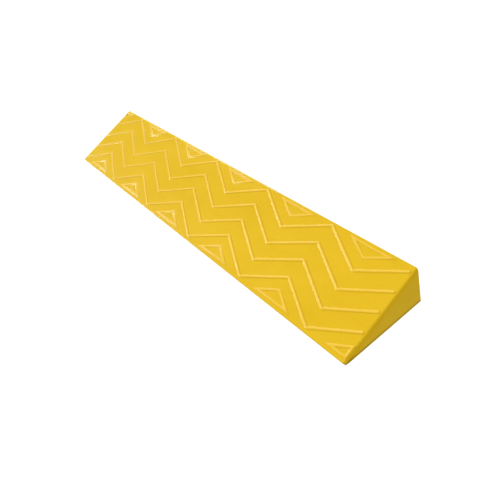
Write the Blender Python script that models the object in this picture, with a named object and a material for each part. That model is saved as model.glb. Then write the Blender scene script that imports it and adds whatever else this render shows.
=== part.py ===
"""Long wedge chock for wheels: one moulded shell with a raised zigzag tread, on push-in rubber feet.

X runs along the wedge, Y from the thin toe (-Y) to the tall back (+Y), and Z is up from the ground.
The origin is on the ground, under the middle of the wedge. Units are metres.
"""

import math

import bmesh
import bpy
from mathutils import Vector

MM = 0.001

# Overall sizes
LENGTH = 1000 * MM
WIDTH = 180 * MM
HEIGHT = 75 * MM  # from the ground to where the tread face and the back wall would meet

# Moulded shell
FOOT_PROUD = 1.5 * MM  # how far the feet hold the shell's rim off the ground
TOE_HEIGHT = 2 * MM  # the thin front edge, above the rim
DRAFT = math.radians(3.5)  # the lean of the end walls and of the back wall
EDGE_ROUND = 5 * MM  # how far the rounding of the upper edges reaches from the edge
TOE_ROUND = 0.8 * MM
ROUND_STEPS = 3
SKIN = 4 * MM  # under the tread face
WALL = 4 * MM  # round the outside
WEB = 3 * MM  # stiffening webs underneath
POCKET_DRAFT = math.radians(1)
TOE_SOLID = 24 * MM  # solid from the toe to the first row of pockets
POCKET_ROWS = 4

# Tread: zigzag ribs that run along the wedge, and an outlined triangle in each outer V
ZIGZAG_LINES = 4
LEG_RUN = 90.3 * MM  # along X, from one corner of a zigzag to the next
LEG_ANGLE = math.radians(29.5)
TREAD_MARGIN = 8.5 * MM  # from the outermost corners to the toe's and the ridge's edge
END_MARGIN = 8 * MM
TRIANGLE_GAP = 27.8 * MM  # up the slope, from a zigzag's corner to the triangle's
TRIANGLE_INSET = 1.2 * MM  # from the zigzag's outermost corners to the triangle's base
TRIANGLE_VOID = 1 * MM  # the least in-radius of the bare face inside a cut triangle
RIB_BASE = 4.6 * MM
RIB_TOP = 2.0 * MM
RIB_HEIGHT = 1.2 * MM
RIB_SINK = 0.5 * MM

# Feet
FEET_PER_ROW = 5
WEBS_PER_FOOT = 3  # a foot under every third cross web
FOOT_DIAMETER = 24 * MM
FOOT_THICKNESS = 4 * MM
FOOT_CHAMFER = 0.8 * MM
STEM_DIAMETER = 8 * MM
STEM_LENGTH = 11 * MM
STEM_NECK = 0.8 * MM  # how much thinner the stem is between its barbs, on the radius
BARBS = 2
FIT_GAP = 0.3 * MM
BOSS_WALL = 3 * MM  # of the ring round each pad and of the tube round each stem
BORE_SPARE = 1.5 * MM  # depth left over past the stem's tip
ROUND_SIDES = 24

# Reach of a cutter or a blank past what it cuts
OVERSHOOT = 40 * MM
PAST_RIM = 1 * MM

RIM = FOOT_PROUD
TOE_TOP = RIM + TOE_HEIGHT
TOE_Y = -WIDTH / 2
BACK_Y = WIDTH / 2
RIDGE_Y = BACK_Y - (HEIGHT - RIM) * math.tan(DRAFT)
SLOPE = math.atan2(HEIGHT - TOE_TOP, RIDGE_Y - TOE_Y)
SLOPE_WIDTH = math.hypot(HEIGHT - TOE_TOP, RIDGE_Y - TOE_Y)
RIB_RISE = LEG_RUN * math.tan(LEG_ANGLE)
RIB_SPACING = (SLOPE_WIDTH - 2 * TREAD_MARGIN - RIB_RISE) / (ZIGZAG_LINES - 1)

CROSS_WEBS = WEBS_PER_FOOT * (FEET_PER_ROW - 1) + 1
POCKET_COLUMNS = CROSS_WEBS + 1
COLUMN_PITCH = (LENGTH - 2 * WALL + WEB) / POCKET_COLUMNS
ROW_PITCH = (WIDTH - TOE_SOLID - WALL + WEB) / POCKET_ROWS
FOOT_ROW_WEBS = {"front": 1, "rear": POCKET_ROWS - 1}  # long webs over the feet, counted from the toe

SEAT_RADIUS = FOOT_DIAMETER / 2 + FIT_GAP
SEAT_Z = FOOT_THICKNESS + FIT_GAP
RING_RADIUS = SEAT_RADIUS + BOSS_WALL
BORE_RADIUS = STEM_DIAMETER / 2 + FIT_GAP
BORE_TOP = FOOT_THICKNESS + STEM_LENGTH + BORE_SPARE
TUBE_RADIUS = BORE_RADIUS + BOSS_WALL

YELLOW = (0.80, 0.53, 0.035, 1.0)
BLACK = (0.022, 0.022, 0.024, 1.0)


# ---- small helpers -------------------------------------------------------------------------------


def clear_scene():
    for obj in list(bpy.data.objects):
        bpy.data.objects.remove(obj)


def material(name, colour, roughness):
    made = bpy.data.materials.new(name)
    made.use_nodes = True
    shader = made.node_tree.nodes["Principled BSDF"]
    shader.inputs["Base Color"].default_value = colour
    shader.inputs["Roughness"].default_value = roughness
    shader.inputs["Metallic"].default_value = 0.0
    return made


def add_object(name, mesh, parent=None):
    made = bpy.data.objects.new(name, mesh)
    bpy.context.scene.collection.objects.link(made)
    made.parent = parent
    return made


def mesh_from(bm, name):
    """The finished mesh, with its faces turned outwards."""
    bmesh.ops.recalc_face_normals(bm, faces=bm.faces)
    mesh = bpy.data.meshes.new(name)
    bm.to_mesh(mesh)
    bm.free()
    return mesh


def add_tool(name, bm):
    """A cutter or a blank for a Boolean: never part of the object."""
    tool = add_object(name, mesh_from(bm, name))
    tool.hide_render = True
    tool.display_type = "WIRE"
    return tool


def use_tool(obj, operation, tool):
    modifier = obj.modifiers.new(tool.name, "BOOLEAN")
    modifier.operation = operation
    modifier.solver = "EXACT"
    modifier.object = tool


def add_block(bm, lower, upper):
    """A closed block between a lower and an upper ring of four corners, each ring in the same order."""
    low = [bm.verts.new(corner) for corner in lower]
    high = [bm.verts.new(corner) for corner in upper]
    bm.faces.new(reversed(low))
    bm.faces.new(high)
    for i in range(len(low)):
        j = (i + 1) % len(low)
        bm.faces.new((low[i], low[j], high[j], high[i]))
    return low, high


def add_drum(bm, centre, radius, bottom, top_at):
    """A round closed drum. top_at gives the height of its top at each Y, so the top may slant."""
    ring = [
        (
            centre[0] + radius * math.cos(2 * math.pi * i / ROUND_SIDES),
            centre[1] + radius * math.sin(2 * math.pi * i / ROUND_SIDES),
        )
        for i in range(ROUND_SIDES)
    ]
    add_block(bm, [(x, y, bottom) for x, y in ring], [(x, y, top_at(y)) for x, y in ring])


# ---- the wedge's own geometry --------------------------------------------------------------------


def half_length(z):
    """Half the wedge's length at height z, where the end walls lean in by their draft."""
    return LENGTH / 2 - (z - RIM) * math.tan(DRAFT)


def back_at(z):
    return BACK_Y - (z - RIM) * math.tan(DRAFT)


def tread_z(y):
    return TOE_TOP + (y - TOE_Y) * math.tan(SLOPE)


def ceiling_z(y):
    """The underside of the skin."""
    return tread_z(y) - SKIN / math.cos(SLOPE)


def on_tread(u, v, lift=0.0):
    """A point over the tread face: u along X, v up the slope from the toe, lift off the face."""
    along = Vector((0, math.cos(SLOPE), math.sin(SLOPE)))
    off = Vector((0, -math.sin(SLOPE), math.cos(SLOPE)))
    return Vector((u, TOE_Y, TOE_TOP)) + along * v + off * lift


# ---- shell ---------------------------------------------------------------------------------------


def rounding_share(edge, top_corners):
    """How much of the full rounding this edge of the blank gets."""
    on_top = [corner for corner in edge.verts if corner in top_corners]
    if not on_top:
        return 0.0
    if len(on_top) == 2 and all(corner.co.y < 0 for corner in on_top):
        return TOE_ROUND / EDGE_ROUND
    return 1.0


def shell_blank():
    """The solid wedge, run on below its rim so that the roundings have room, with bevel weights."""
    floor = RIM - OVERSHOOT

    def ring(front_z, rear_z, rear_y):
        return [
            (-half_length(front_z), TOE_Y, front_z),
            (half_length(front_z), TOE_Y, front_z),
            (half_length(rear_z), rear_y, rear_z),
            (-half_length(rear_z), rear_y, rear_z),
        ]

    bm = bmesh.new()
    _, high = add_block(bm, ring(floor, floor, back_at(floor)), ring(TOE_TOP, HEIGHT, RIDGE_Y))
    weight = bm.edges.layers.float.new("bevel_weight_edge")
    for edge in bm.edges:
        edge[weight] = rounding_share(edge, high)
    return mesh_from(bm, "wedge_shell")


def under_rim_tool():
    """Takes away the blank below the rim."""
    reach = max(LENGTH, WIDTH)
    bm = bmesh.new()
    corners = [(-reach, -reach), (reach, -reach), (reach, reach), (-reach, reach)]
    add_block(
        bm,
        [(x, y, RIM - 2 * OVERSHOOT) for x, y in corners],
        [(x, y, RIM) for x, y in corners],
    )
    return add_tool("under_rim_tool", bm)


def long_web_y(index):
    """The middle of a web that runs along X, counted from the toe; 0 and POCKET_ROWS are the outer walls."""
    return TOE_Y + TOE_SOLID - WEB / 2 + index * ROW_PITCH


def cross_web_x(index):
    return (index - POCKET_COLUMNS / 2) * COLUMN_PITCH


def add_pocket(bm, column, row):
    """One pocket between the webs. Its webs thicken upwards, and its outer walls follow the shell's draft."""

    def sides(z):
        lean = (z - RIM) * math.tan(POCKET_DRAFT)
        outer = (z - RIM) * math.tan(DRAFT)
        left = cross_web_x(column) + WEB / 2 + (outer if column == 0 else lean)
        right = cross_web_x(column + 1) - WEB / 2 - (outer if column == POCKET_COLUMNS - 1 else lean)
        front = long_web_y(row) + WEB / 2 + lean
        rear = long_web_y(row + 1) - WEB / 2 - (outer if row == POCKET_ROWS - 1 else lean)
        return left, right, front, rear

    def ring(front_z, rear_z):
        front_left, front_right, front, _ = sides(front_z)
        rear_left, rear_right, _, rear = sides(rear_z)
        return [
            (front_left, front, front_z),
            (front_right, front, front_z),
            (rear_right, rear, rear_z),
            (rear_left, rear, rear_z),
        ]

    mouth = RIM - PAST_RIM
    _, _, front_y, rear_y = sides(RIM)
    add_block(bm, ring(mouth, mouth), ring(ceiling_z(front_y), ceiling_z(rear_y)))


def pocket_tool():
    bm = bmesh.new()
    for column in range(POCKET_COLUMNS):
        for row in range(POCKET_ROWS):
            add_pocket(bm, column, row)
    return add_tool("pocket_tool", bm)


def foot_places():
    """(name, x, y) of each foot, under the crossings of the webs."""
    places = []
    for row_name, web in FOOT_ROW_WEBS.items():
        for i in range(FEET_PER_ROW):
            x = cross_web_x(1 + i * WEBS_PER_FOOT)
            places.append((f"foot_{row_name}_{i + 1}", x, long_web_y(web)))
    return places


def foot_drums(name, radius, bottom, top_at):
    """One upright drum over each foot."""
    bm = bmesh.new()
    for _, x, y in foot_places():
        add_drum(bm, (x, y), radius, bottom, top_at)
    return add_tool(name, bm)


def middle_of_skin(y):
    return ceiling_z(y) + SKIN / 2


# ---- tread ---------------------------------------------------------------------------------------


def end_room(u, v, side):
    """How far inside the tread's end margin the point is, at the end on that side."""
    return half_length(on_tread(u, v).z) - END_MARGIN - side * u


def clipped(points, closed):
    """The path's part inside both end margins."""
    for side in (-1, 1):
        kept = []
        for i, (u, v) in enumerate(points):
            before_u, before_v = points[i - 1]
            room = end_room(u, v, side)
            room_before = end_room(before_u, before_v, side)
            if (closed or i > 0) and (room > 0) != (room_before > 0):
                share = room_before / (room_before - room)
                kept.append((before_u + (u - before_u) * share, before_v + (v - before_v) * share))
            if room > 0:
                kept.append((u, v))
        points = kept
    return spaced(points, closed)


def spaced(points, closed):
    """The path without the corners that crowd the one before, closer than a rib's width."""
    kept = []
    for point in points:
        if not kept or math.dist(point, kept[-1]) > RIB_BASE:
            kept.append(point)
    if closed and len(kept) > 1 and math.dist(kept[0], kept[-1]) < RIB_BASE:
        kept.pop()
    return kept


def corner_columns():
    """(u, is_peak) of each column of zigzag corners. A peak points up the slope."""
    reach = math.ceil(LENGTH / 2 / LEG_RUN)
    return [((k + 0.5) * LEG_RUN, k % 2 == 1) for k in range(-reach - 1, reach + 1)]


def zigzag_paths():
    paths = []
    for line in range(ZIGZAG_LINES):
        base = TREAD_MARGIN + line * RIB_SPACING
        paths.append(clipped([(u, base + (RIB_RISE if peak else 0)) for u, peak in corner_columns()], False))
    return paths


def in_radius(corners):
    """Twice a closed outline's area over its length: on a triangle, the radius of the circle inside it."""
    area = 0
    around = 0
    for (u, v), (last_u, last_v) in zip(corners, corners[-1:] + corners[:-1]):
        area += (last_u * v - u * last_v) / 2
        around += math.dist((u, v), (last_u, last_v))
    return 2 * abs(area) / around


def triangle_paths():
    """The outlined triangles: in each V by the ridge, and, pointing the other way, by the toe."""
    tip_height = RIB_RISE - TRIANGLE_GAP - TRIANGLE_INSET
    half_base = tip_height / math.tan(LEG_ANGLE)
    paths = []
    for u, peak in corner_columns():
        if peak:
            base = TREAD_MARGIN + TRIANGLE_INSET
            tip = base + tip_height
        else:
            base = SLOPE_WIDTH - TREAD_MARGIN - TRIANGLE_INSET
            tip = base - tip_height
        corners = [(u - half_base, base), (u + half_base, base), (u, tip)]
        path = clipped(corners if peak else corners[::-1], True)
        if len(path) > 2 and in_radius(path) > RIB_BASE / 2 + TRIANGLE_VOID:
            paths.append(path)
    return paths


def mitres(path, closed):
    """For each point of the path, the vector that moves it a unit off to the left of both its legs."""
    found = []
    count = len(path)
    for i in range(count):
        here = Vector(path[i])
        legs = []
        if closed or i > 0:
            legs.append(here - Vector(path[i - 1]))
        if closed or i < count - 1:
            legs.append(Vector(path[(i + 1) % count]) - here)
        sides = [Vector((-leg.y, leg.x)).normalized() for leg in legs]
        middle = sum(sides, Vector((0, 0))).normalized()
        found.append(middle / middle.dot(sides[0]))
    return found


def add_rib(bm, path, closed):
    """A rib along the path, flat on top with sloping sides."""
    section = [
        (-RIB_BASE / 2, -RIB_SINK),
        (RIB_BASE / 2, -RIB_SINK),
        (RIB_TOP / 2, RIB_HEIGHT),
        (-RIB_TOP / 2, RIB_HEIGHT),
    ]
    rings = []
    for (u, v), mitre in zip(path, mitres(path, closed)):
        corners = [on_tread(u + mitre.x * off, v + mitre.y * off, lift) for off, lift in section]
        rings.append([bm.verts.new(corner) for corner in corners])
    pairs = list(zip(rings, rings[1:] + rings[:1]))
    if not closed:
        pairs.pop()
        bm.faces.new(rings[0])
        bm.faces.new(rings[-1])
    for here, there in pairs:
        for i in range(len(section)):
            j = (i + 1) % len(section)
            bm.faces.new((here[i], here[j], there[j], there[i]))


def tread_tool():
    bm = bmesh.new()
    for path in zigzag_paths():
        add_rib(bm, path, False)
    for path in triangle_paths():
        add_rib(bm, path, True)
    return add_tool("tread_tool", bm)


def build_shell(parent, finish):
    """The moulding. Each foot sits in a ring, against the end of a tube that grips its stem."""
    shell = add_object("wedge_shell", shell_blank(), parent)
    shell.data.materials.append(finish)
    bevel = shell.modifiers.new("edge_rounding", "BEVEL")
    bevel.limit_method = "WEIGHT"
    bevel.width = EDGE_ROUND
    bevel.segments = ROUND_STEPS
    use_tool(shell, "DIFFERENCE", under_rim_tool())
    use_tool(shell, "DIFFERENCE", pocket_tool())
    use_tool(shell, "UNION", foot_drums("ring_tool", RING_RADIUS, RIM, middle_of_skin))
    use_tool(shell, "DIFFERENCE", foot_drums("ring_bore_tool", SEAT_RADIUS, RIM - PAST_RIM, ceiling_z))
    use_tool(shell, "UNION", foot_drums("tube_tool", TUBE_RADIUS, SEAT_Z, middle_of_skin))
    use_tool(shell, "DIFFERENCE", foot_drums("stem_bore_tool", BORE_RADIUS, RIM, lambda y: BORE_TOP))
    use_tool(shell, "UNION", tread_tool())


# ---- feet ----------------------------------------------------------------------------------------


def foot_profile():
    """(radius, height) down the foot's outer side, from the stem's tip to the middle of the underside."""
    pad = FOOT_DIAMETER / 2
    stem = STEM_DIAMETER / 2
    neck = stem - STEM_NECK
    top = FOOT_THICKNESS + STEM_LENGTH
    barb = STEM_LENGTH / BARBS
    profile = [(0, top)]
    for i in range(BARBS):
        tip = top - i * barb
        profile.append((neck, tip))
        profile.append((stem, tip - barb / 2))
        profile.append((neck, tip - barb / 2))
    profile += [
        (neck, FOOT_THICKNESS),
        (pad - FOOT_CHAMFER, FOOT_THICKNESS),
        (pad, FOOT_THICKNESS - FOOT_CHAMFER),
        (pad, FOOT_CHAMFER),
        (pad - FOOT_CHAMFER, 0),
        (0, 0),
    ]
    return profile


def foot_mesh():
    bm = bmesh.new()
    points = [bm.verts.new((radius, 0, height)) for radius, height in foot_profile()]
    edges = [bm.edges.new(pair) for pair in zip(points, points[1:])]
    bmesh.ops.spin(
        bm,
        geom=points + edges,
        cent=(0, 0, 0),
        axis=(0, 0, 1),
        angle=2 * math.pi,
        steps=ROUND_SIDES,
        use_merge=True,
    )
    bmesh.ops.remove_doubles(bm, verts=bm.verts, dist=0.01 * MM)
    mesh = mesh_from(bm, "rubber_foot")
    mesh.shade_smooth()
    mesh.set_sharp_from_angle(angle=math.radians(30))
    return mesh


def build_feet(parent, finish):
    mesh = foot_mesh()
    mesh.materials.append(finish)
    for name, x, y in foot_places():
        foot = add_object(name, mesh, parent)
        foot.location = (x, y, 0)


def main():
    clear_scene()
    wedge = add_object("wedge_chock", None)
    build_shell(wedge, material("yellow_plastic", YELLOW, 0.42))
    build_feet(wedge, material("black_rubber", BLACK, 0.8))


main()
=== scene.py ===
"""Long yellow wedge chock: the moulding with its zigzag tread and webbed underside, and its rubber feet.

X runs along the wedge, Y from the thin toe to the tall back, Z up from the ground. Units are metres.
"""

import math

import bmesh
import bpy
from mathutils import Matrix, Vector


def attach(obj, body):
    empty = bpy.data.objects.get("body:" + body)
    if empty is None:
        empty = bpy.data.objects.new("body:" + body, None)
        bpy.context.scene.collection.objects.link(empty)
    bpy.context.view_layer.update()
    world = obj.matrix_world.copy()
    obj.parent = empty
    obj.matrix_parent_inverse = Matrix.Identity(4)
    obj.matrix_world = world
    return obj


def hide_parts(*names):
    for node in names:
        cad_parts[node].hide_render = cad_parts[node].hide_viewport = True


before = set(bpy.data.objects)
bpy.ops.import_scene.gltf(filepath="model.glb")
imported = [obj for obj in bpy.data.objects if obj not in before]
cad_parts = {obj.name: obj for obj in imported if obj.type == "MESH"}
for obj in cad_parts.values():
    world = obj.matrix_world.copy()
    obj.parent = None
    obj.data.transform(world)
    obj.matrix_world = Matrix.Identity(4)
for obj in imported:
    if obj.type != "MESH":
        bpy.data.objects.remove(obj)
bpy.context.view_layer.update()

MM = 0.001

# ---- the wedge's sizes: as the frame has them, but for broader ribs and rounder end edges --------

LENGTH = 1000 * MM
WIDTH = 180 * MM
HEIGHT = 75 * MM
RIM = 1.5 * MM
TOE_TOP = RIM + 2 * MM
DRAFT = math.radians(3.5)
EDGE_ROUND = 5 * MM
END_ROUND = 6.5 * MM
EDGE_STEPS = 7
TOE_ROUND = 0.8 * MM
RIM_ROUND = 0.45 * MM
RIM_STEPS = 2
OVERSHOOT = 40 * MM
WELD = 0.001 * MM

SKIN = 4 * MM
WALL = 4 * MM
WEB = 3 * MM
WEB_LEAN = math.tan(math.radians(1))
WALL_LEAN = math.tan(DRAFT)
TOE_SOLID = 24 * MM
POCKET_ROWS = 4
POCKET_COLUMNS = 14
POCKET_CORNER = 2.2 * MM
POCKET_CORNER_STEPS = 4
POCKET_CEILING_ROUND = 1.4 * MM
POCKET_CEILING_STEPS = 3
CUT_BELOW_RIM = 1 * MM

TOE_Y = -WIDTH / 2
BACK_Y = WIDTH / 2
RIDGE_Y = BACK_Y - (HEIGHT - RIM) * WALL_LEAN
SLOPE = math.atan2(HEIGHT - TOE_TOP, RIDGE_Y - TOE_Y)
SLOPE_WIDTH = math.hypot(HEIGHT - TOE_TOP, RIDGE_Y - TOE_Y)
COLUMN_PITCH = (LENGTH - 2 * WALL + WEB) / POCKET_COLUMNS
ROW_PITCH = (WIDTH - TOE_SOLID - WALL + WEB) / POCKET_ROWS

ZIGZAG_LINES = 4
ZIGZAG_CORNERS = 10
LEG_RUN = 90.3 * MM
LEG_RISE = LEG_RUN * math.tan(math.radians(29.5))
TREAD_MARGIN = 8.5 * MM
END_MARGIN = 8 * MM
LINE_SPACING = (SLOPE_WIDTH - 2 * TREAD_MARGIN - LEG_RISE) / (ZIGZAG_LINES - 1)
TRIANGLES_PER_ROW = 6
TRIANGLE_GAP = 27.8 * MM
TRIANGLE_INSET = 1.2 * MM
RIB_HALF_BASE = 3.4 * MM
RIB_HALF_CREST = 0.85 * MM
RIB_HEIGHT = 1.2 * MM
RIB_FOOT_LIFT = 0.01 * MM
RIB_SINK = 0.6 * MM
RIB_BEND = 3.7 * MM
RIB_BEND_STEPS = 6
RIB_SECTION_POINTS = 19
RIB_TIP = 1.6 * MM
RIB_TIP_POINTS = 5
RIB_WELD = 0.002 * MM

FEET_PER_ROW = 5
FOOT_PITCH_X = 3 * COLUMN_PITCH
FOOT_PITCH_Y = 2 * ROW_PITCH
FOOT_MIDDLE_Y = TOE_Y + TOE_SOLID - WEB / 2 + 2 * ROW_PITCH
FOOT_RADIUS = 12 * MM
FOOT_THICKNESS = 4 * MM
FOOT_EDGE_ROUND = 0.22 * MM
FOOT_EDGE_STEPS = 2
FOOT_SIDES = 40
GRIP_RINGS = 4
GRIP_PITCH = 2.4 * MM
GRIP_MARGIN = 1.6 * MM
GROOVE_DEPTH = 0.7 * MM
GROOVE_TOP = (0.3 * MM, 0.9 * MM)
GROOVE_MOUTH = 1.2 * MM
FIT_GAP = 0.3 * MM
BOSS_WALL = 3 * MM
STEM_RADIUS = 4 * MM
STEM_NECK = 3.2 * MM
STEM_BARBS = 2
STEM_TOP = FOOT_THICKNESS + 11 * MM
BORE_TOP = STEM_TOP + 1.5 * MM
SEAT_Z = FOOT_THICKNESS + FIT_GAP
BOSS_SIDES = 48


# ---- node trees ----------------------------------------------------------------------------------


class Socket:
    """An output in a node tree that arithmetic works on."""

    def __init__(self, tree, socket):
        self.tree = tree
        self.socket = socket

    def out(self, name):
        """Another output of the same node."""
        return Socket(self.tree, self.socket.node.outputs[name])

    def do(self, operation, *values):
        return self.tree.add("ShaderNodeMath", {"operation": operation}, dict(enumerate(values)))

    def __add__(self, other):
        return self.do("ADD", self, other)

    def __radd__(self, other):
        return self.do("ADD", other, self)

    def __sub__(self, other):
        return self.do("SUBTRACT", self, other)

    def __rsub__(self, other):
        return self.do("SUBTRACT", other, self)

    def __mul__(self, other):
        return self.do("MULTIPLY", self, other)

    def __rmul__(self, other):
        return self.do("MULTIPLY", other, self)

    def __truediv__(self, other):
        return self.do("DIVIDE", self, other)

    def __rtruediv__(self, other):
        return self.do("DIVIDE", other, self)

    def __neg__(self):
        return self.do("MULTIPLY", self, -1.0)

    def __abs__(self):
        return self.do("ABSOLUTE", self)

    def __mod__(self, other):
        return self.do("FLOORED_MODULO", self, other)

    def __floordiv__(self, other):
        return self.do("FLOOR", self / other)

    def __lt__(self, other):
        return self.do("LESS_THAN", self, other)

    def __gt__(self, other):
        return self.do("GREATER_THAN", self, other)

    def least(self, other):
        return self.do("MINIMUM", self, other)

    def most(self, other):
        return self.do("MAXIMUM", self, other)

    def sign(self):
        return self.do("SIGN", self)


class Tree:
    """A node tree being drawn up."""

    def __init__(self, node_tree):
        self.node_tree = node_tree

    def add(self, kind, settings=None, inputs=None, output=0):
        """A node of that kind, with its settings made first and then its sockets linked or set."""
        node = self.node_tree.nodes.new(kind)
        for name, value in (settings or {}).items():
            if name == "stops":
                self.set_stops(node.color_ramp, value)
            else:
                setattr(node, name, value)
        for key, value in (inputs or {}).items():
            if isinstance(value, Socket):
                self.node_tree.links.new(value.socket, node.inputs[key])
            else:
                node.inputs[key].default_value = value
        return Socket(self, node.outputs[output]) if len(node.outputs) else None

    @staticmethod
    def set_stops(ramp, stops):
        while len(ramp.elements) < len(stops):
            ramp.elements.new(1.0)
        for element, (place, colour) in zip(ramp.elements, stops):
            element.position = place
            element.color = colour

    def smooth(self, value, low, high, to_low=0.0, to_high=1.0):
        """An eased step from to_low to to_high as the value goes from low to high."""
        return self.add(
            "ShaderNodeMapRange",
            {"interpolation_type": "SMOOTHSTEP"},
            {"Value": value, "From Min": low, "From Max": high, "To Min": to_low, "To Max": to_high},
        )

    def vector(self, x=0.0, y=0.0, z=0.0):
        return self.add("ShaderNodeCombineXYZ", inputs={0: x, 1: y, 2: z})

    def parts(self, vector):
        """The X, Y and Z of a vector."""
        split = self.add("ShaderNodeSeparateXYZ", inputs={0: vector})
        return split, split.out("Y"), split.out("Z")


# ---- Geometry Nodes: common steps ----------------------------------------------------------------


def new_geometry_tree(name, sizes):
    """A Geometry Nodes tree with a named number input for each size, and the sizes as sockets."""
    group = bpy.data.node_groups.new(name, "GeometryNodeTree")
    group.interface.new_socket("Geometry", in_out="OUTPUT", socket_type="NodeSocketGeometry")
    for label, value in sizes.items():
        kind = "NodeSocketInt" if isinstance(value, int) else "NodeSocketFloat"
        group.interface.new_socket(label, in_out="INPUT", socket_type=kind)
    tree = Tree(group)
    entry = group.nodes.new("NodeGroupInput")
    return tree, {label: Socket(tree, entry.outputs[label]) for label in sizes}


def close_geometry_tree(tree, geometry, finish):
    """Ends a tree in real geometry that has its material."""
    real = tree.add("GeometryNodeRealizeInstances", inputs={0: geometry})
    dressed = tree.add("GeometryNodeSetMaterial", inputs={"Geometry": real, "Material": finish})
    tree.add("NodeGroupOutput", inputs={0: dressed})


def grown(name, tree, sizes):
    """An object whose live modifier grows the tree's geometry from its sizes."""
    made = bpy.data.objects.new(name, bpy.data.meshes.new(name))
    bpy.context.scene.collection.objects.link(made)
    modifier = made.modifiers.new(name, "NODES")
    modifier.node_group = tree.node_tree
    for item in tree.node_tree.interface.items_tree:
        if item.in_out == "INPUT":
            modifier[item.identifier] = sizes[item.name]
    return made


def settled(made):
    """Turns an object with modifiers into one with a plain mesh."""
    bpy.context.view_layer.update()
    evaluated = made.evaluated_get(bpy.context.evaluated_depsgraph_get())
    mesh = bpy.data.meshes.new_from_object(evaluated)
    made.modifiers.clear()
    made.data = mesh
    mesh.name = made.name
    return made


def path_through(tree, points):
    """An open path through the points."""
    line = tree.add("GeometryNodeCurvePrimitiveLine")
    line = tree.add("GeometryNodeResampleCurve", inputs={"Curve": line, "Count": len(points)})
    index = tree.add("GeometryNodeInputIndex")
    choice = tree.node_tree.nodes.new("GeometryNodeIndexSwitch")
    choice.data_type = "VECTOR"
    while len(choice.index_switch_items) < len(points):
        choice.index_switch_items.new()
    tree.node_tree.links.new(index.socket, choice.inputs[0])
    for i, point in enumerate(points):
        choice.inputs[i + 1].default_value = point
    place = Socket(tree, choice.outputs[0])
    return tree.add("GeometryNodeSetPosition", inputs={"Geometry": line, "Position": place})


def rib_section(tree, size):
    """A rib's cross-section: a round crest that eases into the face at both feet, and a root in the skin."""
    line = tree.add("GeometryNodeCurvePrimitiveLine")
    line = tree.add("GeometryNodeResampleCurve", inputs={"Curve": line, "Count": RIB_SECTION_POINTS})
    index = tree.add("GeometryNodeInputIndex")
    step = ((index - 1.0) / (RIB_SECTION_POINTS - 3.0)).most(0.0).least(1.0)
    across = (step * 2.0 - 1.0) * size["Rib half base"]
    crest = tree.smooth(abs(across), size["Rib half crest"], size["Rib half base"], 1.0, 0.0)
    at_root = (index < 0.5).most(index > RIB_SECTION_POINTS - 1.5)
    lift = (1.0 - at_root) * (crest * size["Rib height"] + RIB_FOOT_LIFT) - at_root * size["Rib root"]
    place = tree.vector(across, -lift, 0.0)
    section = tree.add("GeometryNodeSetPosition", inputs={"Geometry": line, "Position": place})
    return tree.add("GeometryNodeSetSplineCyclic", inputs={"Geometry": section, "Cyclic": True})


def rounded(tree, curve, steps, radius):
    """A curve with its corners rounded in that many steps."""
    return tree.add(
        "GeometryNodeFilletCurve",
        {"mode": "POLY"},
        {"Curve": curve, "Count": steps, "Radius": radius, "Limit Radius": True},
    )


def swept_ribs(tree, paths, size):
    """The rib's section swept along paths in the flat."""
    upright = tree.add("GeometryNodeSetCurveNormal", {"mode": "Z_UP"}, {"Curve": paths})
    return tree.add(
        "GeometryNodeCurveToMesh",
        inputs={
            "Curve": upright,
            "Profile Curve": rib_section(tree, size),
            "Scale": tree.add("GeometryNodeInputRadius"),
            "Fill Caps": True,
        },
    )


def mitred_ribs(tree, outlines, size):
    """Ribs round closed outlines that keep their full width into sharp corners."""
    tangent = tree.add("GeometryNodeInputTangent")
    here = tree.add("GeometryNodeInputPosition")
    index_ahead = tree.add("GeometryNodeOffsetPointInCurve", inputs={"Offset": 1}, output="Point Index")
    ahead = tree.add(
        "GeometryNodeFieldAtIndex",
        {"data_type": "FLOAT_VECTOR", "domain": "POINT"},
        {"Value": here, "Index": index_ahead},
    )
    leg = tree.add("ShaderNodeVectorMath", {"operation": "SUBTRACT"}, {0: ahead, 1: here})
    leg = tree.add("ShaderNodeVectorMath", {"operation": "NORMALIZE"}, {0: leg})
    half_turn = tree.add(
        "ShaderNodeVectorMath",
        {"operation": "DOT_PRODUCT"},
        {0: tangent, 1: leg},
        output="Value",
    )
    noted = tree.add(
        "GeometryNodeStoreNamedAttribute",
        {"data_type": "FLOAT", "domain": "POINT"},
        {"Geometry": outlines, "Name": "mitre", "Value": 1.0 / half_turn},
    )
    mitre = tree.add("GeometryNodeInputNamedAttribute", {"data_type": "FLOAT"}, {"Name": "mitre"})
    widened = tree.add("GeometryNodeSetCurveRadius", inputs={"Curve": noted, "Radius": mitre})
    ribs = swept_ribs(tree, widened, size)
    x, y, z = tree.parts(tree.add("GeometryNodeInputPosition"))
    level = tree.vector(x, y, z / mitre)
    return tree.add("GeometryNodeSetPosition", inputs={"Geometry": ribs, "Position": level})


def laid_on_tread(tree, ribs, size):
    """Ribs made in the flat, without doubled points, on the tread face."""
    ribs = tree.add("GeometryNodeMergeByDistance", inputs={"Geometry": ribs, "Distance": RIB_WELD})
    return tree.add(
        "GeometryNodeTransform",
        inputs={
            "Geometry": ribs,
            "Translation": tree.vector(0.0, size["Toe Y"], size["Toe top"]),
            "Rotation": tree.vector(size["Slope"], 0.0, 0.0),
        },
    )


TREAD_SIZES = {
    "Toe Y": TOE_Y,
    "Toe top": TOE_TOP,
    "Slope": SLOPE,
    "Slope width": SLOPE_WIDTH,
    "End limit": LENGTH / 2 - (TOE_TOP - RIM) * WALL_LEAN - END_MARGIN,
    "End lean": math.sin(SLOPE) * WALL_LEAN,
    "Leg run": LEG_RUN,
    "Leg rise": LEG_RISE,
    "Rib half base": RIB_HALF_BASE,
    "Rib half crest": RIB_HALF_CREST,
    "Rib height": RIB_HEIGHT,
    "Rib root": RIB_SINK,
}


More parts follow.
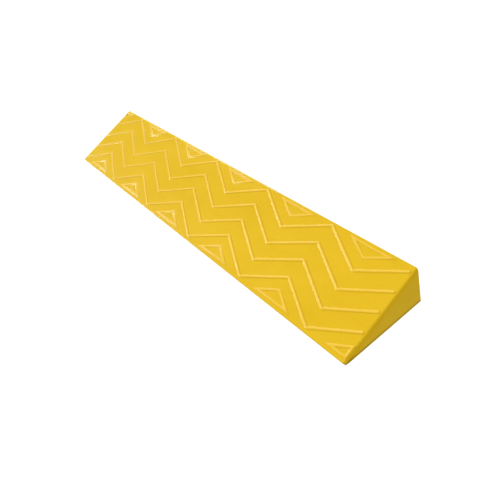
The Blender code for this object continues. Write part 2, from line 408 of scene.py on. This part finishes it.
def zigzag_ribs(finish):
    """The zigzag ribs. Each runs through its corners and tapers off at the margin of both ends."""
    sizes = {
        **TREAD_SIZES,
        "Lines": ZIGZAG_LINES,
        "Corners": ZIGZAG_CORNERS,
        "Spacing": LINE_SPACING,
        "Margin": TREAD_MARGIN,
        "Tip": RIB_TIP,
        "Rib bend": RIB_BEND,
    }
    tree, size = new_geometry_tree("zigzag_ribs", sizes)
    count = size["Corners"] + 2.0 * RIB_TIP_POINTS
    line = tree.add("GeometryNodeCurvePrimitiveLine")
    line = tree.add("GeometryNodeResampleCurve", inputs={"Curve": line, "Count": count})
    lines = tree.add(
        "GeometryNodeDuplicateElements",
        {"domain": "SPLINE"},
        {"Geometry": line, "Amount": size["Lines"]},
    )
    base = size["Margin"] + lines.out("Duplicate Index") * size["Spacing"]
    index = tree.add("GeometryNodeSplineParameter").out("Index")
    corner = index - float(RIB_TIP_POINTS)
    last = size["Corners"] - 1.0
    at_corner_u = (corner - last / 2.0) * size["Leg run"]
    at_corner_v = base + (1.0 - corner % 2.0) * size["Leg rise"]

    side = (corner - last / 2.0).sign()
    incline = size["Leg rise"] / size["Leg run"]
    outer_u = last / 2.0 * size["Leg run"]
    outer_v = base + (side < 0.0) * size["Leg rise"]
    limit = size["End limit"] - size["End lean"] * (outer_v - side * incline * outer_u)
    reach = limit / (1.0 + size["End lean"] * side * incline)
    from_tip = index.least(last + 2.0 * RIB_TIP_POINTS - index)
    turn = (from_tip + 1.0) / float(RIB_TIP_POINTS) * (math.pi / 2)
    tip_u = reach - size["Tip"] * (1.0 - turn.do("COSINE", turn))
    tip_v = outer_v + side * incline * (tip_u - outer_u)

    at_tip = (corner < -0.5).most(corner > last + 0.5)
    u = at_tip * side * tip_u + (1.0 - at_tip) * at_corner_u
    v = at_tip * tip_v + (1.0 - at_tip) * at_corner_v
    place = tree.vector(u, v, 0.0)
    placed = tree.add("GeometryNodeSetPosition", inputs={"Geometry": lines, "Position": place})
    swell = at_tip * turn.do("SINE", turn) + (1.0 - at_tip)
    paths = tree.add("GeometryNodeSetCurveRadius", inputs={"Curve": placed, "Radius": swell})
    bent = rounded(tree, paths, RIB_BEND_STEPS, size["Rib bend"] * (1.0 - at_tip))
    close_geometry_tree(tree, laid_on_tread(tree, swept_ribs(tree, bent, size), size), finish)
    return grown("zigzag_ribs", tree, sizes)


def triangle_ribs(finish):
    """The outlined triangles in the outer Vs: a row by the toe, and one turned round by the ridge."""
    tip = LEG_RISE - TRIANGLE_GAP - TRIANGLE_INSET
    sizes = {
        **TREAD_SIZES,
        "Per row": TRIANGLES_PER_ROW,
        "First": -(ZIGZAG_CORNERS - 1) / 2 * LEG_RUN,
        "Base line": TREAD_MARGIN + TRIANGLE_INSET,
        "Tip": tip,
        "Half base": tip * LEG_RUN / LEG_RISE,
    }
    tree, size = new_geometry_tree("triangle_ribs", sizes)
    three = tree.add("GeometryNodeCurvePrimitiveCircle", {"mode": "RADIUS"}, {"Resolution": 3})
    outlines = tree.add(
        "GeometryNodeDuplicateElements",
        {"domain": "SPLINE"},
        {"Geometry": three, "Amount": size["Per row"] * 2.0},
    )
    number = outlines.out("Duplicate Index")
    row = number // size["Per row"]
    facing = 1.0 - 2.0 * row
    centre = facing * (size["First"] + number % size["Per row"] * 2.0 * size["Leg run"])
    side = centre.sign()
    middle = abs(centre)
    corner = tree.add("GeometryNodeSplineParameter").out("Index")
    at_apex = corner > 1.5
    away = (1.0 - at_apex) * (corner * 2.0 - 1.0) * side * facing

    def up_the_slope(lift):
        return row * (size["Slope width"] - lift) + (1.0 - row) * lift

    full = size["Base line"] + at_apex * size["Tip"]
    end_limit = size["End limit"] - size["End lean"] * up_the_slope(full)
    u = (middle + away * size["Half base"]).least(end_limit)
    cut_short = (middle - u).most(0.0) * at_apex
    lift = full - cut_short * size["Tip"] / size["Half base"]
    place = tree.vector(side * u, up_the_slope(lift), 0.0)
    paths = tree.add("GeometryNodeSetPosition", inputs={"Geometry": outlines, "Position": place})
    close_geometry_tree(tree, laid_on_tread(tree, mitred_ribs(tree, paths, size), size), finish)
    return grown("triangle_ribs", tree, sizes)


SKIN_SIZES = {
    "Toe Y": TOE_Y,
    "Toe top": TOE_TOP,
    "Incline": math.tan(SLOPE),
    "Skin": SKIN / math.cos(SLOPE),
}


def under_skin(size, y):
    """The height of the skin's underside."""
    return size["Toe top"] - size["Skin"] + (y - size["Toe Y"]) * size["Incline"]


def pocket_cores(finish):
    """The cores that leave the pockets: rounded blocks in rows, up to the skin, narrower at the top."""
    sizes = {
        **SKIN_SIZES,
        "Columns": POCKET_COLUMNS,
        "Rows": POCKET_ROWS,
        "Column pitch": COLUMN_PITCH,
        "Row pitch": ROW_PITCH,
        "Middle Y": TOE_Y + TOE_SOLID - WEB / 2 + POCKET_ROWS / 2 * ROW_PITCH,
        "Web": WEB,
        "Corner": POCKET_CORNER,
        "Rim": RIM,
        "Web lean": WEB_LEAN,
        "Wall lean": WALL_LEAN,
    }
    tree, size = new_geometry_tree("pocket_cores", sizes)
    outline = tree.add(
        "GeometryNodeCurvePrimitiveQuadrilateral",
        {"mode": "RECTANGLE"},
        {"Width": size["Column pitch"] - size["Web"], "Height": size["Row pitch"] - size["Web"]},
    )
    outline = rounded(tree, outline, POCKET_CORNER_STEPS, size["Corner"])
    floor = tree.add("GeometryNodeFillCurve", inputs={"Curve": outline})
    raised = tree.add(
        "GeometryNodeExtrudeMesh",
        {"mode": "FACES"},
        {"Mesh": floor, "Offset": tree.vector(0.0, 0.0, 1.0), "Individual": False},
    )
    under = tree.add("GeometryNodeFlipFaces", inputs={0: floor})
    block = tree.node_tree.nodes.new("GeometryNodeJoinGeometry")
    for piece in (raised, under):
        tree.node_tree.links.new(piece.socket, block.inputs[0])
    core = tree.add("GeometryNodeMergeByDistance", inputs={"Geometry": Socket(tree, block.outputs[0])})

    grid = tree.add(
        "GeometryNodeMeshGrid",
        inputs={
            "Size X": (size["Columns"] - 1.0) * size["Column pitch"],
            "Size Y": (size["Rows"] - 1.0) * size["Row pitch"],
            "Vertices X": size["Columns"],
            "Vertices Y": size["Rows"],
        },
    )
    centres = tree.add(
        "GeometryNodeTransform",
        inputs={"Geometry": grid, "Translation": tree.vector(0.0, size["Middle Y"], 0.0)},
    )
    noted = tree.add(
        "GeometryNodeStoreNamedAttribute",
        {"data_type": "FLOAT_VECTOR", "domain": "POINT"},
        {"Geometry": centres, "Name": "centre", "Value": tree.add("GeometryNodeInputPosition")},
    )
    cores = tree.add("GeometryNodeInstanceOnPoints", inputs={"Points": noted, "Instance": core})
    cores = tree.add("GeometryNodeRealizeInstances", inputs={0: cores})
    centre = tree.add("GeometryNodeInputNamedAttribute", {"data_type": "FLOAT_VECTOR"}, {"Name": "centre"})
    centre_x, centre_y, _ = tree.parts(centre)
    x, y, z = tree.parts(tree.add("GeometryNodeInputPosition"))
    at_top = z > 0.5
    side_x = (x - centre_x).sign()
    side_y = (y - centre_y).sign()
    last_column_x = (size["Columns"] - 1.5) / 2.0 * size["Column pitch"]
    at_end = (abs(centre_x) > last_column_x) * (side_x * centre_x > 0.0)
    last_row_y = size["Middle Y"] + (size["Rows"] - 1.5) / 2.0 * size["Row pitch"]
    at_back = (centre_y > last_row_y) * (side_y > 0.0)
    rise = under_skin(size, y) - size["Rim"]
    extra_lean = size["Wall lean"] - size["Web lean"]
    in_x = rise * (size["Web lean"] + at_end * extra_lean)
    in_y = rise * (size["Web lean"] + at_back * extra_lean)
    place = tree.vector(
        x - at_top * side_x * in_x,
        y - at_top * side_y * in_y,
        (1.0 - at_top) * (size["Rim"] - CUT_BELOW_RIM) + at_top * under_skin(size, y - side_y * in_y),
    )
    placed = tree.add("GeometryNodeSetPosition", inputs={"Geometry": cores, "Position": place})
    close_geometry_tree(tree, placed, finish)
    return grown("pocket_cores", tree, sizes)


def foot_grid(tree, size):
    """A point for each foot."""
    grid = tree.add(
        "GeometryNodeMeshGrid",
        inputs={
            "Size X": (size["Feet per row"] - 1.0) * size["Foot pitch X"],
            "Size Y": size["Foot pitch Y"],
            "Vertices X": size["Feet per row"],
            "Vertices Y": 2,
        },
    )
    return tree.add(
        "GeometryNodeTransform",
        inputs={"Geometry": grid, "Translation": tree.vector(0.0, size["Foot middle Y"], 0.0)},
    )


FOOT_GRID_SIZES = {
    "Feet per row": FEET_PER_ROW,
    "Foot pitch X": FOOT_PITCH_X,
    "Foot pitch Y": FOOT_PITCH_Y,
    "Foot middle Y": FOOT_MIDDLE_Y,
}


def drum_tree(finish):
    """Upright drums over the feet, with tops that are level or follow the skin."""
    sizes = {
        **SKIN_SIZES,
        **FOOT_GRID_SIZES,
        "Radius": 1.0,
        "Bottom": 0.0,
        "Level top": 0.0,
        "Follows skin": 0.0,
        "Into skin": 0.0,
    }
    tree, size = new_geometry_tree("foot_drums", sizes)
    drum = tree.add(
        "GeometryNodeMeshCylinder",
        {"fill_type": "NGON"},
        {"Vertices": BOSS_SIDES, "Radius": size["Radius"], "Depth": 1.0},
    )
    grid = foot_grid(tree, size)
    drums = tree.add("GeometryNodeInstanceOnPoints", inputs={"Points": grid, "Instance": drum})
    drums = tree.add("GeometryNodeRealizeInstances", inputs={0: drums})
    x, y, z = tree.parts(tree.add("GeometryNodeInputPosition"))
    slanted = under_skin(size, y) + size["Into skin"]
    top = size["Follows skin"] * slanted + (1.0 - size["Follows skin"]) * size["Level top"]
    place = tree.vector(x, y, (z < 0.0) * size["Bottom"] + (z > 0.0) * top)
    placed = tree.add("GeometryNodeSetPosition", inputs={"Geometry": drums, "Position": place})
    close_geometry_tree(tree, placed, finish)
    return tree, sizes


def foot_section():
    """(radius, 0, height) points down the foot's outer side: barbed stem, pad, and grip rings underneath."""
    barb = (STEM_TOP - FOOT_THICKNESS) / STEM_BARBS
    points = [(0.0, STEM_TOP)]
    for i in range(STEM_BARBS):
        tip = STEM_TOP - i * barb
        points += [(STEM_NECK, tip), (STEM_RADIUS, tip - barb / 2), (STEM_NECK, tip - barb / 2)]
    points += [(STEM_NECK, FOOT_THICKNESS), (FOOT_RADIUS, FOOT_THICKNESS), (FOOT_RADIUS, 0.0)]
    for i in range(GRIP_RINGS):
        outer = FOOT_RADIUS - GRIP_MARGIN - i * GRIP_PITCH
        points.append((outer, 0.0))
        points += [(outer - inward, GROOVE_DEPTH) for inward in GROOVE_TOP]
        points.append((outer - GROOVE_MOUTH, 0.0))
    points.append((0.0, 0.0))
    return [(radius, 0.0, height) for radius, height in points]


def feet_body(finish):
    """The rubber feet: one section turned round its axis, set at each place on the grid."""
    sizes = {**FOOT_GRID_SIZES, "Edge round": FOOT_EDGE_ROUND, "Sides": FOOT_SIDES}
    tree, size = new_geometry_tree("rubber_feet", sizes)
    section = path_through(tree, foot_section())
    section = rounded(tree, section, FOOT_EDGE_STEPS, size["Edge round"])
    spokes = tree.add("GeometryNodeCurveToMesh", inputs={"Curve": section})
    turned = lathe(tree, spokes, size["Sides"])
    grid = foot_grid(tree, size)
    feet = tree.add("GeometryNodeInstanceOnPoints", inputs={"Points": grid, "Instance": turned})
    close_geometry_tree(tree, feet, finish)
    return grown("rubber_feet", tree, sizes)


def lathe(tree, section, sides):
    """Turns a section in the XZ plane round Z: a tube of the right count of rings is bent to the section."""
    count = tree.add("GeometryNodeAttributeDomainSize", {"component": "MESH"}, {"Geometry": section})
    grid = tree.add(
        "GeometryNodeMeshGrid",
        inputs={"Size X": 1.0, "Size Y": 1.0, "Vertices X": sides + 1.0, "Vertices Y": count},
    )
    index = tree.add("GeometryNodeInputIndex")
    along = index % count
    around = (index // count) / sides * (-2 * math.pi)
    sample = tree.add(
        "GeometryNodeSampleIndex",
        {"data_type": "FLOAT_VECTOR", "domain": "POINT"},
        {"Geometry": section, "Value": tree.add("GeometryNodeInputPosition"), "Index": along},
    )
    radius, _, height = tree.parts(sample)
    place = tree.vector(radius * around.do("COSINE", around), radius * around.do("SINE", around), height)
    turned = tree.add("GeometryNodeSetPosition", inputs={"Geometry": grid, "Position": place})
    return tree.add("GeometryNodeMergeByDistance", inputs={"Geometry": turned, "Distance": WELD})


# ---- the moulding --------------------------------------------------------------------------------


def half_length(z):
    return LENGTH / 2 - (z - RIM) * WALL_LEAN


def back_at(z):
    return BACK_Y - (z - RIM) * WALL_LEAN


def wedge_blank(finish):
    """The solid wedge with its upper edges and upright corners rounded, run on below its rim."""
    floor = RIM - OVERSHOOT
    levels = [
        [(TOE_Y, floor), (back_at(floor), floor)],
        [(TOE_Y, TOE_TOP), (RIDGE_Y, HEIGHT)],
    ]
    bm = bmesh.new()
    rings = []
    for (front_y, front_z), (rear_y, rear_z) in levels:
        corners = [
            (-half_length(front_z), front_y, front_z),
            (half_length(front_z), front_y, front_z),
            (half_length(rear_z), rear_y, rear_z),
            (-half_length(rear_z), rear_y, rear_z),
        ]
        rings.append([bm.verts.new(corner) for corner in corners])
    low, high = rings
    bm.faces.new(reversed(low))
    bm.faces.new(high)
    for i in range(4):
        bm.faces.new((low[i], low[i - 3], high[i - 3], high[i]))
    weight = bm.edges.layers.float.new("bevel_weight_edge")
    for edge in bm.edges:
        tops = [corner for corner in edge.verts if corner in high]
        along_x = abs(edge.verts[0].co.x - edge.verts[1].co.x) > LENGTH / 2
        at_toe = along_x and edge.verts[0].co.y < 0
        if not tops:
            rounding = 0.0
        elif not along_x:
            rounding = END_ROUND
        else:
            rounding = TOE_ROUND if at_toe else EDGE_ROUND
        edge[weight] = rounding / END_ROUND
    bmesh.ops.recalc_face_normals(bm, faces=bm.faces)
    mesh = bpy.data.meshes.new("wedge_moulding")
    bm.to_mesh(mesh)
    bm.free()
    mesh.materials.append(finish)
    blank = bpy.data.objects.new("wedge_moulding", mesh)
    bpy.context.scene.collection.objects.link(blank)
    bevel = blank.modifiers.new("edge_rounding", "BEVEL")
    bevel.limit_method = "WEIGHT"
    bevel.width = END_ROUND
    bevel.segments = EDGE_STEPS
    return settled(blank)


def trim_at_rim(blank):
    """Cuts the blank off at its rim and breaks the rim's outer edge."""
    bm = bmesh.new()
    bm.from_mesh(blank.data)
    everything = bm.verts[:] + bm.edges[:] + bm.faces[:]
    bmesh.ops.bisect_plane(bm, geom=everything, plane_co=(0, 0, RIM), plane_no=(0, 0, 1), clear_inner=True)
    bmesh.ops.remove_doubles(bm, verts=bm.verts, dist=WELD)
    rim = [edge for edge in bm.edges if edge.is_boundary]
    bmesh.ops.contextual_create(bm, geom=rim)
    bmesh.ops.bevel(
        bm,
        geom=rim,
        offset=RIM_ROUND,
        offset_type="OFFSET",
        segments=RIM_STEPS,
        profile=0.5,
        affect="EDGES",
        clamp_overlap=False,
    )
    bmesh.ops.recalc_face_normals(bm, faces=bm.faces)
    bm.to_mesh(blank.data)
    bm.free()


def use_tool(piece, operation, tool):
    modifier = piece.modifiers.new(tool.name, "BOOLEAN")
    modifier.operation = operation
    modifier.solver = "EXACT"
    modifier.object = tool


def soften(piece, angle):
    """Smooth shading that keeps flat faces flat, with edges over the angle left crisp."""
    piece.data.shade_smooth()
    piece.data.set_sharp_from_angle(angle=angle)
    weighted = piece.modifiers.new("flat_faces_lead", "WEIGHTED_NORMAL")
    weighted.mode = "FACE_AREA"
    weighted.weight = 80
    weighted.keep_sharp = True
    return settled(piece)


def drum_tool(name, tree, sizes, changes):
    """The drums as a tool, with some of their sizes changed."""
    return settled(grown(name, tree, {**sizes, **changes}))


def wedge_moulding(finish):
    """The yellow moulding: blank, pockets, foot rings and tubes, and the tread's ribs."""
    shell = wedge_blank(finish)
    trim_at_rim(shell)
    cores = pocket_cores(finish)
    bevel = cores.modifiers.new("ceiling_rounding", "BEVEL")
    bevel.limit_method = "ANGLE"
    bevel.angle_limit = math.radians(50)
    bevel.width = POCKET_CEILING_ROUND
    bevel.segments = POCKET_CEILING_STEPS
    drums, sizes = drum_tree(finish)
    seat = FOOT_RADIUS + FIT_GAP
    bore = STEM_RADIUS + FIT_GAP
    into_skin = {"Follows skin": 1.0, "Into skin": SKIN / math.cos(SLOPE) / 2}
    rings = {"Radius": seat + BOSS_WALL, "Bottom": RIM, **into_skin}
    ring_bores = {"Radius": seat, "Bottom": RIM - CUT_BELOW_RIM, "Follows skin": 1.0}
    tubes = {"Radius": bore + BOSS_WALL, "Bottom": SEAT_Z, **into_skin}
    stem_bores = {"Radius": bore, "Bottom": RIM, "Level top": BORE_TOP}
    steps = [
        ("DIFFERENCE", settled(cores)),
        ("UNION", drum_tool("rings", drums, sizes, rings)),
        ("DIFFERENCE", drum_tool("ring_bores", drums, sizes, ring_bores)),
        ("UNION", drum_tool("tubes", drums, sizes, tubes)),
        ("DIFFERENCE", drum_tool("stem_bores", drums, sizes, stem_bores)),
        ("UNION", settled(zigzag_ribs(finish))),
        ("UNION", settled(triangle_ribs(finish))),
    ]
    for operation, tool in steps:
        use_tool(shell, operation, tool)
    settled(shell)
    for _, tool in steps:
        bpy.data.objects.remove(tool)
    return soften(shell, angle=math.radians(32))


# ---- finishes ------------------------------------------------------------------------------------


CLEAN_YELLOWS = [
    (0.30, (0.684, 0.446, 0.022, 1.0)),
    (0.50, (0.716, 0.474, 0.028, 1.0)),
    (0.70, (0.746, 0.500, 0.034, 1.0)),
]
# painted highlight: pale yellow laid on the rib crests in place of their glints
CREST_HIGHLIGHT_YELLOW = (0.82, 0.55, 0.10, 1.0)
# painted shade: darker yellow for the creases at the ribs' feet
FOOT_SHADE_YELLOW = (0.42, 0.25, 0.02, 1.0)
# painted shade: dark olive for the bottom edge of the outer sides
BASE_SHADE_YELLOW = (0.27, 0.18, 0.004, 1.0)
RUBBER_BLACKS = [
    (0.3, (0.017, 0.017, 0.018, 1.0)),
    (0.7, (0.034, 0.033, 0.032, 1.0)),
]
DUST = (0.16, 0.15, 0.13, 1.0)
# painted shadow: black for the floor under the wedge
CONTACT_SHADOW_BLACK = (0.0, 0.0, 0.0, 1.0)
LIT_WHITE = (1.0, 1.0, 1.0, 1.0)


def new_finish(name):
    """A material with an empty node tree, its tree, and the place that its patterns read."""
    finish = bpy.data.materials.new(name)
    finish.use_nodes = True
    finish.node_tree.nodes.clear()
    tree = Tree(finish.node_tree)
    place = tree.add("ShaderNodeTexCoord").out("Object")
    return finish, tree, place


def close_finish(tree, shader):
    tree.add("ShaderNodeOutputMaterial", inputs={"Surface": shader})


def noise(tree, place, scale, detail, roughness, stretch=(1.0, 1.0, 1.0), turn=0.0):
    """Noise from 0 to 1 on the place, stretched and turned about Z."""
    mapped = tree.add(
        "ShaderNodeMapping",
        inputs={"Vector": place, "Rotation": (0.0, 0.0, turn), "Scale": stretch},
    )
    return tree.add(
        "ShaderNodeTexNoise",
        inputs={"Vector": mapped, "Scale": scale, "Detail": detail, "Roughness": roughness},
    )


def blend_colours(tree, factor, first, second):
    return tree.add("ShaderNodeMix", {"data_type": "RGBA"}, {0: factor, 6: first, 7: second}, output=2)


def bump(tree, height, distance, strength, normal=None):
    inputs = {"Height": height, "Distance": distance, "Strength": strength}
    if normal:
        inputs["Normal"] = normal
    return tree.add("ShaderNodeBump", inputs=inputs)


def yellow_plastic():
    """Satin moulded plastic: fine grain, a painted highlight on the rib crests, painted shade in the creases
    at the ribs' feet and painted shade low along the outer bottom edge.
    """
    finish, tree, place = new_finish("moulded_yellow")
    x, y, z = tree.parts(place)
    lift = (z - TOE_TOP) * math.cos(SLOPE) - (y - TOE_Y) * math.sin(SLOPE)
    on_rib = tree.smooth(lift, 0.05 * MM, 0.3 * MM)
    crest = tree.smooth(lift, 0.3 * RIB_HEIGHT, 0.85 * RIB_HEIGHT)
    foot = on_rib * (1.0 - tree.smooth(lift, 0.2 * RIB_HEIGHT, 0.7 * RIB_HEIGHT))

    cloud = noise(tree, place, scale=9.0, detail=3.0, roughness=0.55, stretch=(1.0, 2.0, 2.0))
    mottle = noise(tree, place, scale=160.0, detail=3.0, roughness=0.6)
    flow = noise(tree, place, scale=14.0, detail=4.0, roughness=0.6, stretch=(0.5, 3.0, 3.0), turn=0.12)
    tone = cloud * 0.6 + mottle * 0.2 + flow * 0.2
    body = tree.add("ShaderNodeValToRGB", {"stops": CLEAN_YELLOWS}, {"Fac": tone})
    # painted highlight: the rib crests are lightened towards a pale yellow, a little unevenly
    crest_highlight = crest * tree.smooth(mottle, 0.35, 0.65, to_low=0.7)
    body = blend_colours(tree, crest_highlight, body, CREST_HIGHLIGHT_YELLOW)
    # painted shade: the creases at the ribs' feet are darkened, a little unevenly
    foot_shade = foot * tree.smooth(cloud, 0.4, 0.7, to_low=0.25) * 0.16
    body = blend_colours(tree, foot_shade, body, FOOT_SHADE_YELLOW)
    # painted shade: the outer sides darken towards the bottom edge, a little unevenly
    low = tree.smooth(z, RIM + 1.2 * MM, RIM + 8.5 * MM, 1.0, 0.0)
    beside_tread = tree.smooth(lift, -1.2 * MM, -0.2 * MM, 1.0, 0.0)
    outline = (abs(x) - LENGTH / 2).most(abs(y) - WIDTH / 2)
    outside = tree.smooth(outline, -2.5 * MM, -1.5 * MM)
    base_shade = low * beside_tread * outside * tree.smooth(cloud, 0.3, 0.7, to_low=0.6, to_high=0.85)
    body = blend_colours(tree, base_shade, body, BASE_SHADE_YELLOW)

    scratches = noise(tree, place, scale=60.0, detail=4.0, roughness=0.65, stretch=(0.35, 6.0, 6.0), turn=0.5)
    scuff = tree.smooth(scratches, 0.62, 0.74)
    wear = (mottle - 0.5) * 0.10 + (cloud - 0.5) * 0.06 + scuff * 0.07
    roughness = 0.21 + wear * (1.0 - on_rib * 0.8) + on_rib * 0.07

    grain = noise(tree, place, scale=1500.0, detail=2.0, roughness=0.6)
    orange_peel = noise(tree, place, scale=220.0, detail=1.0, roughness=0.5)
    normal = bump(tree, orange_peel, distance=0.12 * MM, strength=0.06)
    normal = bump(tree, grain, distance=0.06 * MM, strength=0.10, normal=normal)
    shader = tree.add(
        "ShaderNodeBsdfPrincipled",
        inputs={
            "Base Color": body,
            "Roughness": roughness,
            "Normal": normal,
            "IOR": 1.49,
            "Specular IOR Level": 0.25,
            "Subsurface Weight": 0.04,
            "Subsurface Radius": (0.004, 0.0025, 0.0006),
            "Subsurface Scale": 1.0,
        },
    )
    close_finish(tree, shader)
    return finish


def black_rubber():
    """Matt black rubber with a fine grain and pale dust."""
    finish, tree, place = new_finish("foot_rubber")
    cloud = noise(tree, place, scale=90.0, detail=4.0, roughness=0.6)
    speck = noise(tree, place, scale=900.0, detail=3.0, roughness=0.6)
    body = tree.add("ShaderNodeValToRGB", {"stops": RUBBER_BLACKS}, {"Fac": cloud})
    dust = tree.smooth(cloud * 0.6 + speck * 0.4, 0.52, 0.68) * 0.25
    body = blend_colours(tree, dust, body, DUST)
    roughness = 0.72 + (speck - 0.5) * 0.16 + dust * 0.3
    normal = bump(tree, speck, distance=0.08 * MM, strength=0.5)
    shader = tree.add(
        "ShaderNodeBsdfPrincipled",
        inputs={"Base Color": body, "Roughness": roughness, "Normal": normal, "IOR": 1.52},
    )
    close_finish(tree, shader)
    return finish


def glowing_acrylic(tree, glow):
    """White acrylic that gives off the glow's colour."""
    return tree.add(
        "ShaderNodeBsdfPrincipled",
        inputs={
            "Base Color": (0.3, 0.3, 0.3, 1.0),
            "Emission Color": glow,
            "Emission Strength": 1.0,
            "Roughness": 0.9,
            "Specular IOR Level": 0.1,
        },
    )


def light_table():
    """White acrylic lit from below, with a painted contact shadow where the wedge stands on it, and clear
    when seen from under it.
    """
    finish, tree, place = new_finish("light_table_white")
    x, y, _ = tree.parts(place)
    beyond = (abs(x) - LENGTH / 2).most(abs(y) - WIDTH / 2)
    # painted contact shadow: the table's glow fades to black under the wedge's footprint
    glow = tree.smooth(beyond, -3 * MM, 0.0)
    glow_with_painted_shadow = blend_colours(tree, glow, CONTACT_SHADOW_BLACK, LIT_WHITE)
    from_under = tree.add("ShaderNodeNewGeometry").out("Backfacing")
    seen = tree.add(
        "ShaderNodeMixShader",
        inputs={0: from_under, 1: glowing_acrylic(tree, glow_with_painted_shadow), 2: tree.add("ShaderNodeBsdfTransparent")},
    )
    close_finish(tree, seen)
    return finish


def backdrop_white():
    """The studio's white backdrop."""
    finish, tree, _ = new_finish("backdrop_white")
    close_finish(tree, glowing_acrylic(tree, LIT_WHITE))
    return finish


# ---- studio --------------------------------------------------------------------------------------


def add_floor():
    """The light table that the wedge stands on."""
    mesh = bpy.data.meshes.new("studio_floor")
    half = 8.0
    corners = [(-half, -half, 0), (half, -half, 0), (half, half, 0), (-half, half, 0)]
    mesh.from_pydata(corners, [], [(0, 1, 2, 3)])
    mesh.materials.append(light_table())
    set_stage(bpy.data.objects.new("studio_floor", mesh))


def add_backdrop():
    """A white globe round the studio."""
    bm = bmesh.new()
    bmesh.ops.create_icosphere(bm, subdivisions=4, radius=30.0)
    bmesh.ops.reverse_faces(bm, faces=bm.faces)
    mesh = bpy.data.meshes.new("studio_backdrop")
    bm.to_mesh(mesh)
    bm.free()
    mesh.materials.append(backdrop_white())
    set_stage(bpy.data.objects.new("studio_backdrop", mesh))


def set_stage(piece):
    """Puts up a floor or backdrop that the camera sees but that throws no light or shade on the wedge."""
    bpy.context.scene.collection.objects.link(piece)
    piece.visible_diffuse = False
    piece.visible_glossy = False
    piece.visible_transmission = False
    piece.visible_shadow = False


def add_softbox(name, towards, strength, breadth):
    """A distant softbox in the direction given, seen under an angle of breadth degrees."""
    lamp = bpy.data.lights.new(name, "SUN")
    lamp.energy = strength
    lamp.angle = math.radians(breadth)
    box = bpy.data.objects.new(name, lamp)
    box.rotation_euler = Vector(towards).to_track_quat("Z", "Y").to_euler()
    bpy.context.scene.collection.objects.link(box)


def add_sky(colour, strength):
    """Even light from all round."""
    sky = bpy.data.worlds.new("studio_sky")
    sky.use_nodes = True
    background = sky.node_tree.nodes["Background"]
    background.inputs["Color"].default_value = colour
    background.inputs["Strength"].default_value = strength
    bpy.context.scene.world = sky


def add_camera():
    """A camera above the right end of the toe, rolled a little, that looks along the wedge."""
    ahead = Vector((-0.66362, 0.37276, -0.64858)).normalized()
    up = Vector((-0.43073, 0.51846, 0.73869))
    across = ahead.cross(up).normalized()
    up = across.cross(ahead)
    lens = bpy.data.cameras.new("camera")
    lens.sensor_width = 36.0
    lens.lens = 36.28
    lens.clip_start = 0.01
    camera = bpy.data.objects.new("camera", lens)
    turn = Matrix((across, up, -ahead)).transposed()
    camera.matrix_world = Matrix.Translation((0.8392, -0.3922, 0.6477)) @ turn.to_4x4()
    bpy.context.scene.collection.objects.link(camera)
    bpy.context.scene.camera = camera


def main():
    add_camera()
    plastic = yellow_plastic()
    rubber = black_rubber()
    moulding = wedge_moulding(plastic)
    feet = soften(settled(feet_body(rubber)), angle=math.radians(40))
    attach(moulding, "root")
    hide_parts("wedge_shell")
    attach(feet, "root")
    foot_nodes = [f"foot_{row}_{i + 1}" for row in ("front", "rear") for i in range(FEET_PER_ROW)]
    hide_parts(*foot_nodes)
    add_floor()
    add_backdrop()
    add_softbox("left_softbox", (-0.805, -0.405, 0.435), strength=1.75, breadth=18.0)
    add_softbox("rear_softbox", (-0.764, 0.267, 0.588), strength=0.88, breadth=25.0)
    add_sky(colour=(1.0, 0.925, 0.25, 1.0), strength=0.725)
    bpy.context.scene.view_settings.view_transform = "Standard"


main()
